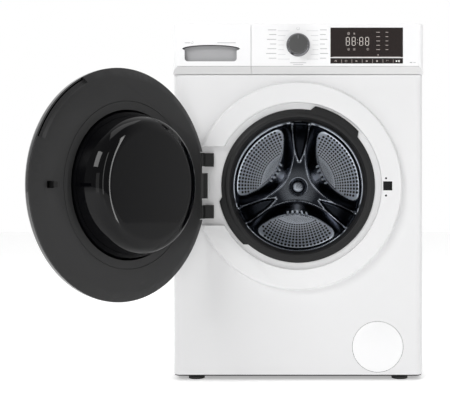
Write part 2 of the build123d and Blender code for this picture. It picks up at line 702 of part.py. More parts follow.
def filter_cover():
    """Round cover, flush with the front panel, over the pump filter."""
    cover = rod_y(PUMP_COVER_R, (PANEL_Y - 0.3, PANEL_Y + 2.2), PUMP_X, PUMP_Z)
    return fillet(cover.edges().group_by(Axis.Y)[0], 0.8)


def pump_filter():
    """Screw-in filter with a grip bar."""
    cap = rod_y(33, (-280, -274), PUMP_X, PUMP_Z)
    grip = block((PUMP_X - 24, PUMP_X + 24), (-286, -279), (PUMP_Z - 4, PUMP_Z + 4))
    barrel = pipe_y(26, 23, (-275, -214), PUMP_X, PUMP_Z)
    for n in range(6):
        slot = block((18, 30), (-262, -222), (-5, 5))
        barrel -= Pos(PUMP_X, 0, PUMP_Z) * Rot(0, n * 60, 0) * slot
    return cap + grip + barrel


def drain_pump():
    """Pump housing round the filter, its motor and its inlet."""
    body = rod_y(36, (-273.5, -205), PUMP_X, PUMP_Z) - rod_y(26.4, (-275, -212), PUMP_X, PUMP_Z)
    body += rod_y(27, (-206, -140), PUMP_X, PUMP_Z)
    inlet = rod_z(17, (100, 128), HOSE_AT[0], HOSE_AT[1])
    body += inlet + block((PUMP_X - 34, PUMP_X + 20), (-206, -150), (60, 104))
    body -= rod_z(14, (110, 130), *HOSE_AT)
    body += block((PUMP_X - 40, PUMP_X + 40), (-240, -216), (12, 60))
    body -= rod_y(26.4, (-275, -212), PUMP_X, PUMP_Z)
    return body + block((PUMP_X + 15, 247), (-200, -176), (50, 74))


def sump_hose():
    """Ribbed rubber hose between the tub's sump and the pump."""
    hose = pipe_z(20, 17, (106, 236), *HOSE_AT)
    for z in range(135, 216, 9):
        hose += pipe_z(23, 19, (z, z + 4), *HOSE_AT)
    return hose


def drain_outlet():
    """Rigid pipe from the pump to the hose spigot through the rear panel."""
    return pipe_y(11, 8.5, (-176, 312), 235, 62) + pipe_y(14.4, 8.5, (286, 293), 235, 62)


def mains_gland():
    """Cord inlet gland through the rear panel."""
    gland = rod_y(9, (284, 300), 240, 790) + rod_y(14, (REAR_Y, 293), 240, 790)
    return gland - rod_y(3.6, (280, 305), 240, 790)


NODES = {
    "cabinet_shell": cabinet_shell, "worktop": worktop, "front_panel": front_panel, "base_tray": base_tray,
    "feet": feet, "rear_panel": rear_panel, "service_cover": service_cover, "cabinet_screws": cabinet_screws,
    "control_fascia": control_fascia, "display_window": display_window, "control_board": control_board,
    "knob_skirt": knob_skirt, "knob_cap": knob_cap,
    "drawer_front": drawer_front, "drawer_tray": drawer_tray, "siphon_cap": siphon_cap,
    "dispenser_housing": dispenser_housing, "inlet_valve": inlet_valve,
    "door_inner_ring": lambda: swing(door_inner_ring()), "door_cover": lambda: swing(door_cover()),
    "door_glass": lambda: swing(door_glass()), "door_hinge_plate": lambda: swing(door_hinge_plate()),
    "door_hook": lambda: swing(door_hook()),
    "hinge_bracket": hinge_bracket, "hinge_pin": hinge_pin, "door_lock": door_lock,
    "door_gasket": door_gasket, "gasket_clamp": gasket_clamp,
    "tub_front": tub_front, "tub_rear": tub_rear, "drum_bearings": drum_bearings, "shaft_seal": shaft_seal,
    "heater": heater, "front_counterweight": front_counterweight, "top_counterweight": top_counterweight,
    "motor": motor, "motor_pulley": motor_pulley, "drum_pulley": drum_pulley, "drive_belt": drive_belt,
    "drum_shell": drum_shell, "drum_back": drum_back, "lifters": lifters, "drum_spider": drum_spider,
    "drum_shaft": drum_shaft, "suspension_springs": suspension_springs,
    "damper_tubes": damper_tubes, "damper_rods": damper_rods,
    "filter_cover": filter_cover, "pump_filter": pump_filter, "drain_pump": drain_pump,
    "sump_hose": sump_hose, "drain_outlet": drain_outlet, "mains_gland": mains_gland,
}

os.makedirs("parts", exist_ok=True)
for node, make in NODES.items():
    export_step(make(), f"parts/{node}.step")
for number in range(KEY_COUNT):
    export_step(key(number), f"parts/key_{number + 1}.step")
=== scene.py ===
import json
import math

import bmesh
import bpy
import numpy as np
from mathutils import Matrix, Vector


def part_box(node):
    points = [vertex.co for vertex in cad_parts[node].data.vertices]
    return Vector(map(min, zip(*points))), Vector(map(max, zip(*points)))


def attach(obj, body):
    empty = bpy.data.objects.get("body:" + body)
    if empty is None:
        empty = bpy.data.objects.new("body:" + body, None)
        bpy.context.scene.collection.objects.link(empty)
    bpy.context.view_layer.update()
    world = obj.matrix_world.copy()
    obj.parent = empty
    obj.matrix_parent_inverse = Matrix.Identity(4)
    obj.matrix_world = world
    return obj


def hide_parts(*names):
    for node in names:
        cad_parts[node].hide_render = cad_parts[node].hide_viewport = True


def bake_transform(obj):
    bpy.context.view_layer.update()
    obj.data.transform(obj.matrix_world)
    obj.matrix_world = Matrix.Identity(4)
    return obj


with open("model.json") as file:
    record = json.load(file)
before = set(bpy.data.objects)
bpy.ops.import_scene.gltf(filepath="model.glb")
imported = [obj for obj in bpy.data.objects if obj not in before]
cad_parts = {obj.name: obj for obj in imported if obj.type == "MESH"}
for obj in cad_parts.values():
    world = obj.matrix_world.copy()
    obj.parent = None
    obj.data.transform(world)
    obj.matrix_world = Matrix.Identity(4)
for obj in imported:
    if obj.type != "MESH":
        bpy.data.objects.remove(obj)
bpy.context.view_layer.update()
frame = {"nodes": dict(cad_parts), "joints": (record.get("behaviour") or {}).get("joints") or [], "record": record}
nodes = frame["nodes"]
bodies_of = {n: b for b, ns in frame["record"]["behaviour"]["bodies"].items() for n in ns}
slot_of = {s["node"]: s["material_slot"] for s in frame["record"]["subparts"]}

MM = 0.001
AXIS_Z = (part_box("drum_shaft")[0].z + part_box("drum_shaft")[1].z) / 2
PANEL_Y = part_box("gasket_clamp")[0].y - 49 * MM


# ---------------------------------------------------------------- materials

def surface(name, colour, rough, metal=0.0, coat=0.0, spread=0.04, mottle=0.03, bump=0.05, grain=900.0,
            smudge=35.0, stretch=(1, 1, 1), emission=None, sheen=0.0, specular=0.5):
    """A Principled material with fine grain, uneven roughness and a slight drift of colour."""
    mat = bpy.data.materials.new(name)
    mat.use_nodes = True
    nt = mat.node_tree
    shader = nt.nodes["Principled BSDF"]
    shader.inputs["Metallic"].default_value = metal
    shader.inputs["Coat Weight"].default_value = coat
    shader.inputs["Coat Roughness"].default_value = 0.06
    shader.inputs["Sheen Weight"].default_value = sheen
    shader.inputs["Specular IOR Level"].default_value = specular
    where = nt.nodes.new("ShaderNodeTexCoord")
    place = nt.nodes.new("ShaderNodeMapping")
    place.inputs["Scale"].default_value = stretch
    nt.links.new(where.outputs["Object"], place.inputs["Vector"])

    fine = nt.nodes.new("ShaderNodeTexNoise")
    fine.inputs["Scale"].default_value = grain
    fine.inputs["Detail"].default_value = 3
    broad = nt.nodes.new("ShaderNodeTexNoise")
    broad.inputs["Scale"].default_value = smudge
    broad.inputs["Detail"].default_value = 5
    for tex in (fine, broad):
        nt.links.new(place.outputs["Vector"], tex.inputs["Vector"])

    spread_map = nt.nodes.new("ShaderNodeMapRange")
    spread_map.inputs["To Min"].default_value = max(0.02, rough - spread)
    spread_map.inputs["To Max"].default_value = rough + spread
    nt.links.new(broad.outputs["Fac"], spread_map.inputs["Value"])
    nt.links.new(spread_map.outputs["Result"], shader.inputs["Roughness"])

    tint = nt.nodes.new("ShaderNodeMix")
    tint.data_type = "RGBA"
    tint.inputs[6].default_value = (*[c * (1 - mottle) for c in colour], 1)
    tint.inputs[7].default_value = (*[min(1, c * (1 + mottle)) for c in colour], 1)
    nt.links.new(broad.outputs["Fac"], tint.inputs[0])
    nt.links.new(tint.outputs[2], shader.inputs["Base Color"])

    relief = nt.nodes.new("ShaderNodeBump")
    relief.inputs["Strength"].default_value = bump
    relief.inputs["Distance"].default_value = 0.0004
    nt.links.new(fine.outputs["Fac"], relief.inputs["Height"])
    nt.links.new(relief.outputs["Normal"], shader.inputs["Normal"])
    if emission:
        shader.inputs["Emission Color"].default_value = (*colour, 1)
        shader.inputs["Emission Strength"].default_value = emission
    return mat


def glass(name, colour, rough):
    """Dark glass, seen by its gloss."""
    mat = surface(name, colour, rough, spread=0.01, bump=0.004, specular=0.22)
    mat.node_tree.nodes["Principled BSDF"].inputs["IOR"].default_value = 1.5
    return mat


LOOKS = {
    "white_paint": surface("white_paint", (0.80, 0.80, 0.805), 0.36, coat=0.15, bump=0.06, grain=1400,
                           mottle=0.006),
    "white_board": surface("white_board", (0.85, 0.85, 0.85), 0.42, bump=0.12, grain=700, mottle=0.01),
    "white_plastic": surface("white_plastic", (0.93, 0.93, 0.935), 0.3, coat=0.2, bump=0.04, mottle=0.006),
    "grey_plastic": surface("grey_plastic", (0.28, 0.29, 0.30), 0.42, bump=0.15),
    "knob_grey": surface("knob_grey", (0.075, 0.075, 0.075), 0.45, bump=0.12, grain=1500, specular=0.35),
    "dark_chrome": surface("dark_chrome", (0.20, 0.20, 0.21), 0.1, metal=1.0, bump=0.02),
    "black_pane": surface("black_pane", (0.012, 0.006, 0.005), 0.1, coat=1.0, bump=0.01, spread=0.02),
    "black_gloss": surface("black_gloss", (0.005, 0.005, 0.006), 0.07, coat=1.0, bump=0.01, spread=0.02),
    "dark_plastic": surface("dark_plastic", (0.016, 0.016, 0.0165), 0.5, bump=0.16, grain=1500, mottle=0.08,
                            specular=0.3),
    "smoked_glass": glass("smoked_glass", (0.0015, 0.0015, 0.002), 0.04),
    "black_metal": surface("black_metal", (0.005, 0.005, 0.005), 0.42, bump=0.1, specular=0.25),
    "steel": surface("steel", (0.55, 0.55, 0.57), 0.28, metal=1.0, bump=0.08),
    "stainless": surface("stainless", (0.60, 0.61, 0.66), 0.17, metal=1.0, bump=0.03, spread=0.05, smudge=60),
    "galvanised": surface("galvanised", (0.52, 0.54, 0.56), 0.38, metal=1.0, bump=0.1, smudge=90, mottle=0.12,
                          spread=0.1),
    "cast_alloy": surface("cast_alloy", (0.26, 0.26, 0.27), 0.5, metal=1.0, bump=0.5, grain=500),
    "concrete": surface("concrete", (0.42, 0.41, 0.39), 0.85, bump=0.8, grain=260, mottle=0.15),
    # near-black: a guess at the tub's colour that also stands in for the shade seen through the drum's holes
    "tub_plastic": surface("tub_plastic", (0.035, 0.036, 0.038), 0.5, bump=0.2),
    "gasket_rubber": surface("gasket_rubber", (0.011, 0.011, 0.0115), 0.5, bump=0.15, sheen=0.04, mottle=0.1,
                             specular=0.3),
    "black_rubber": surface("black_rubber", (0.012, 0.012, 0.012), 0.7, bump=0.3),
    "board_green": surface("board_green", (0.02, 0.12, 0.05), 0.4, coat=0.4),
    "drawer_inner": surface("drawer_inner", (0.62, 0.63, 0.64), 0.4, bump=0.08),
}
INK = surface("ink", (0.30, 0.30, 0.31), 0.5, bump=0.02)
PALE_INK = surface("pale_ink", (0.80, 0.80, 0.78), 0.5, bump=0.02, emission=0.25)
DIGIT = surface("digit", (0.75, 0.70, 0.66), 0.5, bump=0.02, emission=0.35)
# grey painted shade line for the edge above the sloping strip
CREASE_SHADE = surface("painted_crease_shade", (0.42, 0.42, 0.42), 0.6, bump=0.02)
DIM_DIGIT = surface("dim_digit", (0.36, 0.32, 0.30), 0.5, bump=0.02, emission=0.2)


# ---------------------------------------------------------------- mesh helpers

def sharpen(mesh, limit=32):
    """Smooth shading with the edges over the limit kept crisp."""
    bm = bmesh.new()
    bm.from_mesh(mesh)
    for f in bm.faces:
        f.smooth = True
    for e in bm.edges:
        if len(e.link_faces) == 2:
            e.smooth = e.calc_face_angle(0) < math.radians(limit)
    bm.to_mesh(mesh)
    bm.free()
    mesh.update()


def finish_piece(obj, body, slot, look=None, replaces=(), limit=32):
    """Gives a piece its look (the slot's, unless another is given) and its body, and hides the CAD nodes that it
    stands for.
    """
    obj.data.materials.clear()
    obj.data.materials.append(look or LOOKS[slot])
    sharpen(obj.data, limit)
    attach(obj, body)
    if replaces:
        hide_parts(*replaces)
    return obj


def from_data(name, verts, faces):
    """A new object in the scene from its points and faces."""
    mesh = bpy.data.meshes.new(name)
    mesh.from_pydata([tuple(v) for v in verts], [], faces)
    mesh.update()
    obj = bpy.data.objects.new(name, mesh)
    bpy.context.scene.collection.objects.link(obj)
    return obj


def clean(obj, distance=1e-6):
    """Joins points that coincide and turns every face outwards."""
    bm = bmesh.new()
    bm.from_mesh(obj.data)
    bmesh.ops.remove_doubles(bm, verts=bm.verts, dist=distance)
    bmesh.ops.recalc_face_normals(bm, faces=bm.faces)
    bm.to_mesh(obj.data)
    bm.free()
    return obj


def refined(node, bevel=0.0006, segments=2, angle=35):
    """A copy of a CAD node with its flats joined up and its edges slightly rounded."""
    cad = nodes[node]
    obj = bpy.data.objects.new(node + "_skin", cad.data.copy())
    obj.data.materials.clear()
    bpy.context.scene.collection.objects.link(obj)
    bm = bmesh.new()
    bm.from_mesh(obj.data)
    bmesh.ops.remove_doubles(bm, verts=bm.verts, dist=1e-6)
    bmesh.ops.dissolve_limit(bm, angle_limit=math.radians(0.5), verts=bm.verts, edges=bm.edges)
    bm.to_mesh(obj.data)
    bm.free()
    if bevel:
        mod = obj.modifiers.new("edges", "BEVEL")
        mod.width = bevel
        mod.segments = segments
        mod.limit_method = "ANGLE"
        mod.angle_limit = math.radians(angle)
        mod.harden_normals = True
    return finish_piece(obj, bodies_of[node], slot_of[node], replaces=[node])


def lathe(name, outline, body, slot, segments=192, centre=(0.0, AXIS_Z), look=None, replaces=(), limit=32):
    """Closed solid turned round a line along Y; outline is a loop of (radius, y) in millimetres."""
    verts, faces, rings = [], [], []
    for r, y in outline:
        if r < 1e-6:
            rings.append([len(verts)] * segments)
            verts.append((centre[0], y * MM, centre[1]))
            continue
        rings.append(range(len(verts), len(verts) + segments))
        for k in range(segments):
            a = 2 * math.pi * k / segments
            verts.append((centre[0] + r * MM * math.cos(a), y * MM, centre[1] + r * MM * math.sin(a)))
    for n, ring in enumerate(rings):
        after = rings[(n + 1) % len(rings)]
        if ring[0] == ring[-1] and after[0] == after[-1]:
            continue
        for k in range(segments):
            j = (k + 1) % segments
            quad = [ring[k], ring[j], after[j], after[k]]
            faces.append(list(dict.fromkeys(quad)))
    obj = clean(from_data(name, verts, faces))
    return finish_piece(obj, body, slot, look, replaces, limit)


def rounded(points, radius, steps=5):
    """The loop with each corner replaced by a short curve; the ends on the axis stay."""
    out = []
    for n, p in enumerate(points):
        before, after = points[n - 1], points[(n + 1) % len(points)]
        if p[0] < 1e-6:
            out.append(p)
            continue
        ends = []
        for q in (before, after):
            length = math.dist(p, q)
            cut = min(radius, 0.45 * length)
            ends.append((p[0] + (q[0] - p[0]) * cut / length, p[1] + (q[1] - p[1]) * cut / length))
        for s in range(steps + 1):
            t = s / steps
            out.append(tuple((1 - t) ** 2 * a + 2 * t * (1 - t) * c + t * t * b
                             for a, c, b in zip(ends[0], p, ends[1])))
    return out


def merged(solids):
    """The points and faces of several (verts, faces) solids as one mesh's."""
    verts, faces = [], []
    for vs, fs in solids:
        faces += [[i + len(verts) for i in f] for f in fs]
        verts += list(vs)
    return verts, faces


def joined(name, solids, body, slot, look=None, replaces=(), limit=32):
    """One piece from a list of (verts, faces) solids."""
    obj = clean(from_data(name, *merged(solids)))
    return finish_piece(obj, body, slot, look, replaces, limit)


def prism(loop, y, depth):
    """Solid of a loop of (x, z) in metres, standing depth proud of the face y towards the front."""
    n = len(loop)
    verts = [(x, y - depth, z) for x, z in loop] + [(x, y, z) for x, z in loop]
    faces = [list(range(n)), list(range(n, 2 * n))]
    faces += [[k, (k + 1) % n, n + (k + 1) % n, n + k] for k in range(n)]
    return verts, faces


def bar(x, z, w, h):
    """Rounded bar centred on (x, z)."""
    c = min(w, h) * 0.25
    return [(x - w / 2 + c, z - h / 2), (x + w / 2 - c, z - h / 2), (x + w / 2, z - h / 2 + c),
            (x + w / 2, z + h / 2 - c), (x + w / 2 - c, z + h / 2), (x - w / 2 + c, z + h / 2),
            (x - w / 2, z + h / 2 - c), (x - w / 2, z - h / 2 + c)]


def disc(x, z, r, sides=20):
    """Round loop centred on (x, z)."""
    turns = [2 * math.pi * k / sides for k in range(sides)]
    return [(x + r * math.cos(t), z + r * math.sin(t)) for t in turns]


def arc_band(x, z, r, width, start, end, steps=16):
    """Part of a ring, from angle start to end in degrees."""
    sweep = [math.radians(start + (end - start) * k / steps) for k in range(steps + 1)]
    outer = [(x + (r + width / 2) * math.cos(a), z + (r + width / 2) * math.sin(a)) for a in sweep]
    inner = [(x + (r - width / 2) * math.cos(a), z + (r - width / 2) * math.sin(a)) for a in reversed(sweep)]
    return outer + inner


def perforated(name, columns, rows, place, hole_at, bore, thickness, body, slot, look, replaces=(), tone=None,
               flip=False, closed_end=False):
    """Thin sheet on a lattice of angles by rows, holed in each 4 x 4 block that hole_at accepts.

    bore is a hole's radius as a share of half a block.
    """
    n, m = len(columns), len(rows)
    verts, faces, at = [], [], {}

    def vertex(i, j):
        key = (i % n, j)
        if key not in at:
            at[key] = len(verts)
            verts.append((columns[i % n], rows[j]))
        return at[key]

    pitch = 2 * math.pi / n
    for bi in range(0, n, 4):
        for bj in range(0, m - 1, 4):
            top = min(bj + 4, m - 1)
            whole = top - bj == 4
            if whole and hole_at(columns[bi] + 2 * pitch, rows[bj + 2]):
                around = [(k, 0) for k in range(4)] + [(4, k) for k in range(4)]
                around += [(4 - k, 4) for k in range(4)] + [(0, 4 - k) for k in range(4)]
                outer = [vertex(bi + a, bj + b) for a, b in around]
                first = len(verts)
                for a, b in around:
                    turn = math.atan2(b - 2, a - 2)
                    ci, cj = 2 + bore * 2 * math.cos(turn), bj + 2 + bore * 2 * math.sin(turn)
                    low = min(int(cj), m - 2)
                    row = rows[low] + (rows[low + 1] - rows[low]) * (cj - low)
                    verts.append((columns[bi] + ci * pitch, row))
                faces += [[outer[k], outer[(k + 1) % 16], first + (k + 1) % 16, first + k] for k in range(16)]
                continue
            for i in range(bi, bi + 4):
                for j in range(bj, top):
                    faces.append([vertex(i, j), vertex(i + 1, j), vertex(i + 1, j + 1), vertex(i, j + 1)])
    where = np.array(verts)
    points = place(where[:, 0], where[:, 1])
    if closed_end:
        centre = len(points)
        points = np.vstack([points, place(np.array([0.0]), np.array([0.0]))])
        faces += [[vertex(i, 0), centre, vertex(i + 1, 0)] for i in range(n)]
        where = np.vstack([where, [0.0, 0.0]])
    if flip:
        faces = [f[::-1] for f in faces]
    obj = from_data(name, points, faces)
    if tone is not None:
        attribute = obj.data.attributes.new("tone", "FLOAT", "POINT")
        attribute.data.foreach_set("value", tone(where[:, 0], where[:, 1]).astype(np.float32))
    solid = obj.modifiers.new("sheet", "SOLIDIFY")
    solid.thickness = thickness
    solid.offset = -1
    solid.use_quality_normals = True
    bpy.context.view_layer.update()
    shape = bpy.data.meshes.new_from_object(obj.evaluated_get(bpy.context.evaluated_depsgraph_get()))
    obj.modifiers.clear()
    obj.data = shape
    return finish_piece(obj, body, slot, look, replaces, 40)


for name, obj in nodes.items():
    obj.data.materials.clear()
    obj.data.materials.append(LOOKS[slot_of[name]])


# ---------------------------------------------------------------- cabinet, fascia and controls

BEVELS = {
    "cabinet_shell": 0.0005, "worktop": 0.0012, "front_panel": 0.0009, "control_fascia": 0.0008,
    "drawer_front": 0.0008, "base_tray": 0.001, "rear_panel": 0.0003, "service_cover": 0.0004,
    "display_window": 0.0003, "door_lock": 0.0004, "hinge_bracket": 0.0006, "door_hinge_plate": 0.0008,
    "drawer_tray": 0.0006, "dispenser_housing": 0.0005, "lifters": 0.003, "door_inner_ring": 0.0007,
    "filter_cover": 0.0004, "front_counterweight": 0.002, "top_counterweight": 0.002,
}
for name, bevel in BEVELS.items():
    refined(name, bevel)
for number in range(1, 8):
    refined(f"key_{number}", 0.0003)

BEVEL_TOP = 16.8 * MM               # the sloping strip's upper edge, above the drawer front's bottom


def drawer_recess():
    """Painted shade in the drawer's finger grip: a grey on the recess wall and a near-black on the faces under the
    lip stand in for the shade and shadow there, as second and third finishes of its front.
    """
    lo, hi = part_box("drawer_front")
    mesh = bpy.data.objects["drawer_front_skin"].data
    # grey painted shade on the recess wall, near-black painted shadow under the lip
    mesh.materials.append(surface("grip_painted_shade", (0.44, 0.44, 0.45), 0.35, bump=0.05))
    mesh.materials.append(surface("grip_painted_shadow", (0.02, 0.02, 0.02), 0.5, bump=0.05))
    for face in mesh.polygons:
        c = face.center
        beside = abs(c.x + 207 * MM) < 70 * MM and 760 * MM < c.z < 801 * MM
        if beside and lo.y + 0.8 * MM < c.y < hi.y - 1 * MM:
            face.material_index = 2 if c.z > 789 * MM else 1


def strip_painted_shade():
    """Painted shade: a darker copy of the white on the strip that slopes back under the drawer front and the
    fascia, standing in for the shade that falls there.
    """
    z_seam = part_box("drawer_front")[0].z + BEVEL_TOP
    # darker copy of the white: painted shade for the sloping strip
    shade = surface("white_strip_painted_shade", (0.70, 0.70, 0.70), 0.35, coat=0.1, bump=0.04, mottle=0.006)
    for name in ("drawer_front_skin", "control_fascia_skin"):
        mesh = bpy.data.objects[name].data
        mesh.materials.append(shade)
        for face in mesh.polygons:
            if face.center.z < z_seam and face.normal.y < -0.3:
                face.material_index = len(mesh.materials) - 1


drawer_recess()
strip_painted_shade()


def knob():
    """Dark chrome skirt, satin cap and pointer of the programme dial."""
    lo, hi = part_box("knob_skirt")
    centre = ((lo.x + hi.x) / 2, (lo.z + hi.z) / 2)
    skirt = [(0, -309.3), (28, -309.3), (27.6, -310.8), (24.2, -314.6), (23.6, -315), (3.3, -315),
             (3.3, -288), (0, -288)]
    lathe("dial_skirt", rounded(skirt, 0.5), "knob", "dark_chrome", 96, centre, replaces=["knob_skirt"])
    cap = [(0, -315), (22.9, -315), (22.9, -319), (22.2, -331), (20.6, -333), (0, -333.6)]
    lathe("dial_cap", rounded(cap, 1.2), "knob", "knob_grey", 96, centre, replaces=["knob_cap"])
    mark = prism(bar(centre[0], centre[1] + 15 * MM, 0.9 * MM, 8 * MM), -333.3 * MM, 0.25 * MM)
    joined("dial_pointer", [mark], "knob", "knob_grey", LOOKS["grey_plastic"])


def fascia_marks():
    """Plain guide lines and blank programme bars round the dial, with no lettering."""
    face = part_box("control_fascia")[0].y + 1 * MM
    x0, z0 = 0.0, (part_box("knob_skirt")[0].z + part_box("knob_skirt")[1].z) / 2
    thin, proud = 0.45 * MM, 0.12 * MM
    marks = []
    for row in range(7):
        z = z0 + (33.5 - 11.2 * row) * MM
        for side in (-1, 1):
            near = (24, 34, 38, 38, 38, 34, 24)[row] * MM
            far = 44 * MM
            marks.append(prism(bar(x0 + side * (near + far) / 2, z, far - near + 8 * MM, thin), face, proud))
            length = (20, 17, 22, 15, 21, 24, 18)[row] * (1.0 if side < 0 else 0.8) * MM
            label = bar(x0 + side * (52 * MM + length / 2), z + 2.2 * MM, length, 1.1 * MM)
            marks.append(prism(label, face, proud))
    marks.append(prism(arc_band(x0, z0 + 39 * MM, 3.2 * MM, 0.5 * MM, -240, 60), face, proud))
    marks.append(prism(bar(x0, z0 - 42.5 * MM, 38 * MM, 1.0 * MM), face, proud))
    marks.append(prism(bar(x0, z0 - 46.5 * MM, 24 * MM, 0.8 * MM), face, proud))
    marks.append(prism(bar(x0 + 276.5 * MM, z0 - 42 * MM, 6 * MM, 0.9 * MM), face, proud))
    marks.append(prism(bar(x0 + 268.5 * MM, z0 - 42 * MM, 6 * MM, 1.6 * MM), face, proud))
    joined("dial_marks", marks, "cabinet", "white_plastic", INK)

    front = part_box("drawer_front")[0].y
    z = z0 + 5 * MM
    left, right = -270 * MM, -154 * MM
    marks = [prism(bar(left + 7 * MM, z, 13 * MM, 1.0 * MM), front, proud),
             prism(arc_band(left + 18 * MM, z + 1 * MM, 2.6 * MM, 0.5 * MM, -200, 100), front, proud),
             prism(bar(right - 16 * MM, z, 44 * MM, 1.0 * MM), front, proud)]
    joined("drawer_marks", marks, "drawer", "white_plastic", INK)


def bevel_seams():
    """Painted shade: a fine grey line where the fascia's face meets the sloping strip below it, standing in for
    the shade along that edge.
    """
    lo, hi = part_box("drawer_front")
    z, face = lo.z + BEVEL_TOP, lo.y
    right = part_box("control_fascia")[1].x
    inset = 12 * MM
    for name, start, end, body in (("drawer_crease_shade", lo.x + inset, hi.x, "drawer"),
                                   ("fascia_crease_shade", hi.x + 0.5 * MM, right - inset, "cabinet")):
        # a thin grey strip painted on as the edge's shade
        line = prism(bar((start + end) / 2, z, end - start, 0.9 * MM), face, 0.1 * MM)
        joined(name, [line], body, "white_plastic", CREASE_SHADE)


def seven_segment(x, z, w, h, lit=0.9 * MM):
    """The seven bars of one digit, all lit."""
    half = h / 2
    bars = [bar(x, z + dz, w - 2 * lit, lit) for dz in (-half, 0, half)]
    for dx in (-w / 2, w / 2):
        bars += [bar(x + dx, z + dz, lit, half - 1.4 * lit) for dz in (-half / 2, half / 2)]
    return bars


def display_marks():
    """Digits, indicator dots and the plain symbols on the keys."""
    lo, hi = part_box("display_window")
    x0, face, proud = lo.x, lo.y, 0.1 * MM
    z_mid = lo.z + 37.5 * MM
    loops = []
    for x in (41, 55, 73, 87):
        loops += seven_segment(x0 + x * MM, z_mid, 7.6 * MM, 19 * MM)
    loops += [disc(x0 + 64 * MM, z_mid + dz * MM, 0.7 * MM) for dz in (-3.5, 3.5)]
    joined("display_digits", [prism(s, face, proud) for s in loops], "cabinet", "black_pane", DIGIT)

    triangle = [(54, 16.5), (58.5, 16.5), (56.2, 21)]
    loops = [arc_band(x0 + 43 * MM, z_mid + 18.5 * MM, 2.6 * MM, 1.0 * MM, 30, 330),
             disc(x0 + 44 * MM, z_mid + 18.5 * MM, 1.2 * MM),
             [(x0 + x * MM, z_mid + z * MM) for x, z in triangle]]
    for x in (43, 56.5, 88.5):
        loops.append(arc_band(x0 + x * MM, z_mid - 19 * MM, 2.4 * MM, 0.7 * MM, 0, 350))
        loops.append(disc(x0 + x * MM, z_mid - 19 * MM, 0.8 * MM))
    for row in range(5):
        z = z_mid + (21.5 - 10.3 * row) * MM
        loops += [bar(x0 + 113 * MM, z, 9 * MM, 1.3 * MM), bar(x0 + 134 * MM, z, 6.5 * MM, 1.3 * MM)]
    loops.append(disc(x0 + 113 * MM, lo.z + 5.2 * MM, 1.5 * MM))
    joined("display_symbols", [prism(s, face, proud) for s in loops], "cabinet", "black_pane", DIM_DIGIT)

    for number in range(1, 8):
        k_lo, k_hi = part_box(f"key_{number}")
        x, z = (k_lo.x + k_hi.x) / 2, (k_lo.z + k_hi.z) / 2 - 0.8 * MM
        shapes = {1: [arc_band(x, z, 2.2 * MM, 0.8 * MM, -60, 240), bar(x, z + 1.6 * MM, 0.8 * MM, 3 * MM)],
                  2: [arc_band(x, z, 2.3 * MM, 0.6 * MM, 0, 350)],
                  3: [bar(x, z + dz * MM, 4.5 * MM, 0.7 * MM) for dz in (-1.4, 0, 1.4)],
                  4: [bar(x, z, 4.2 * MM, 3.2 * MM)],
                  5: [disc(x, z, 2.2 * MM)],
                  6: [arc_band(x, z, 2.3 * MM, 0.6 * MM, 20, 200)],
                  7: [[(x - 4.4 * MM, z - 2.5 * MM), (x - 0.4 * MM, z), (x - 4.4 * MM, z + 2.5 * MM)],
                      bar(x + 1.6 * MM, z, 1.5 * MM, 5 * MM), bar(x + 4.2 * MM, z, 1.5 * MM, 5 * MM)]}[number]
        look = PALE_INK if number == 7 else DIM_DIGIT
        body = f"push_{number}"
        joined(f"key_symbol_{number}", [prism(s, k_lo.y, proud) for s in shapes], body, "black_pane", look)
        if number > 1:
            divider = bar(k_lo.x + 1.4 * MM, (k_lo.z + k_hi.z) / 2 - 0.8 * MM, 0.9 * MM, 8 * MM)
            joined(f"key_divider_{number}", [prism(divider, k_lo.y, proud)], body, "black_pane", DIM_DIGIT)
    width = hi.x - lo.x
    line = bar(lo.x + width / 2, lo.z + 0.7 * MM, width - 9 * MM, 0.9 * MM)
    joined("display_line", [prism(line, face, proud)], "cabinet", "black_pane", DIM_DIGIT)


knob()
fascia_marks()
bevel_seams()
display_marks()


# ---------------------------------------------------------------- door

DOOR_JOINT = next(j for j in frame["joints"] if j["name"] == "door_swing")
HINGE = Vector(DOOR_JOINT["pos_m"])
SWING = Matrix.Translation(HINGE) @ Matrix.Rotation(-math.radians(DOOR_JOINT["range_deg"][1]), 4, "Z") \
    @ Matrix.Translation(-HINGE)


def on_door(obj):
    """Swings a piece that was drawn with the door closed out to the open rest position."""
    obj.data.transform(SWING)
    obj.data.update()
    return obj


def door_bowl():
    """Pressed glass bowl with a broad rounded shoulder."""
    outer = [(0, -245), (118, -246), (135, -250), (144, -262), (157, -310), (158.5, -325.8), (168, -325.8),
             (168, -330)]
    inner = [(153, -331), (151.5, -311), (139, -264.5), (131, -255), (117, -251), (0, -250)]
    outline = rounded(outer + inner, 7, 8)
    on_door(lathe("bowl", outline, "door", "smoked_glass", 224, replaces=["door_glass"], limit=50))


door_bowl()
refined("door_cover", 0)
nodes["door_hook"].data.materials[0] = LOOKS["black_metal"]


# ---------------------------------------------------------------- gasket, hose, springs

LIP_R = 161.0                       # radius of the gasket's thin lip


def soft_lathe(name, outline, slot, replaces, axis_z=False, centre=(0.0, AXIS_Z), extra=()):
    """Turned rubber piece that runs between two bodies; it is put under neither."""
    verts, faces = [], []
    segments = 224
    for r, y in outline:
        for k in range(segments):
            t = 2 * math.pi * k / segments
            c, s = r * MM * math.cos(t), r * MM * math.sin(t)
            across, up = centre[0] + c, centre[1] + s
            verts.append((across, up, y * MM) if axis_z else (across, y * MM, up))
    rows = len(outline)
    for n in range(rows):
        for k in range(segments):
            j, m = (k + 1) % segments, (n + 1) % rows
            faces.append([n * segments + k, n * segments + j, m * segments + j, m * segments + k])
    obj = clean(from_data(name, *merged([(verts, faces), *extra])))
    obj.data.materials.append(LOOKS[slot])
    sharpen(obj.data, 40)
    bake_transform(obj)
    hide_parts(*replaces)
    return obj


